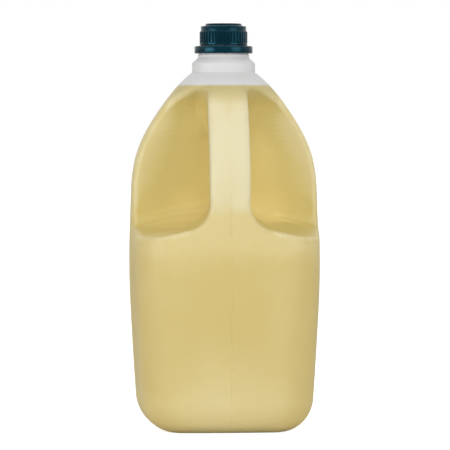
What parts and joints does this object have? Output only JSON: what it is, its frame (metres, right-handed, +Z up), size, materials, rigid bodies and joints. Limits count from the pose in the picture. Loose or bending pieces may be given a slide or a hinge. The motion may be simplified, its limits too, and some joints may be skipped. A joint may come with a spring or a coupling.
{
  "type": "handled oil jug",
  "caption": "Translucent blow-moulded jug with an integral front grip, full of pale massage oil, closed by a ribbed screw cap with a tamper-evident band.",
  "frame": {"origin": "on the neck axis, on the surface that the jug stands on", "axes": "+Z up along the neck axis, -Y towards the front with the grip, +X to the right seen from the front"},
  "size_m": [0.1532, 0.167, 0.329],
  "materials": {
    "natural_polyethylene": "satin",
    "massage_oil": "gloss",
    "teal_plastic": "satin",
    "liner_foam": "matte"
  },
  "bodies": {
    "bottle": {"bottle": "natural_polyethylene", "oil": "massage_oil"},
    "liner": {"cap_liner": "liner_foam"},
    "cap": {"screw_cap": "teal_plastic"},
    "band": {"tamper_band": "teal_plastic"}
  },
  "joints": [
    {"name": "cap_lift", "type": "slide", "parent": "bottle", "child": "liner", "axis": [0, 0, 1], "range_m": [0, 0.0074]},
    {"name": "cap_turn", "type": "hinge", "parent": "liner", "child": "cap", "pos_m": [0, 0, 0.318], "axis": [0, 0, 1], "range_deg": [0, 630]},
    {"name": "band_turn", "type": "hinge", "parent": "bottle", "child": "band", "pos_m": [0, 0, 0.308], "axis": [0, 0, 1], "continuous": true}
  ],
  "couplings": [
    {"joint": "cap_lift", "follows": "cap_turn", "m_per_rad": 0.00066845}
  ]
}
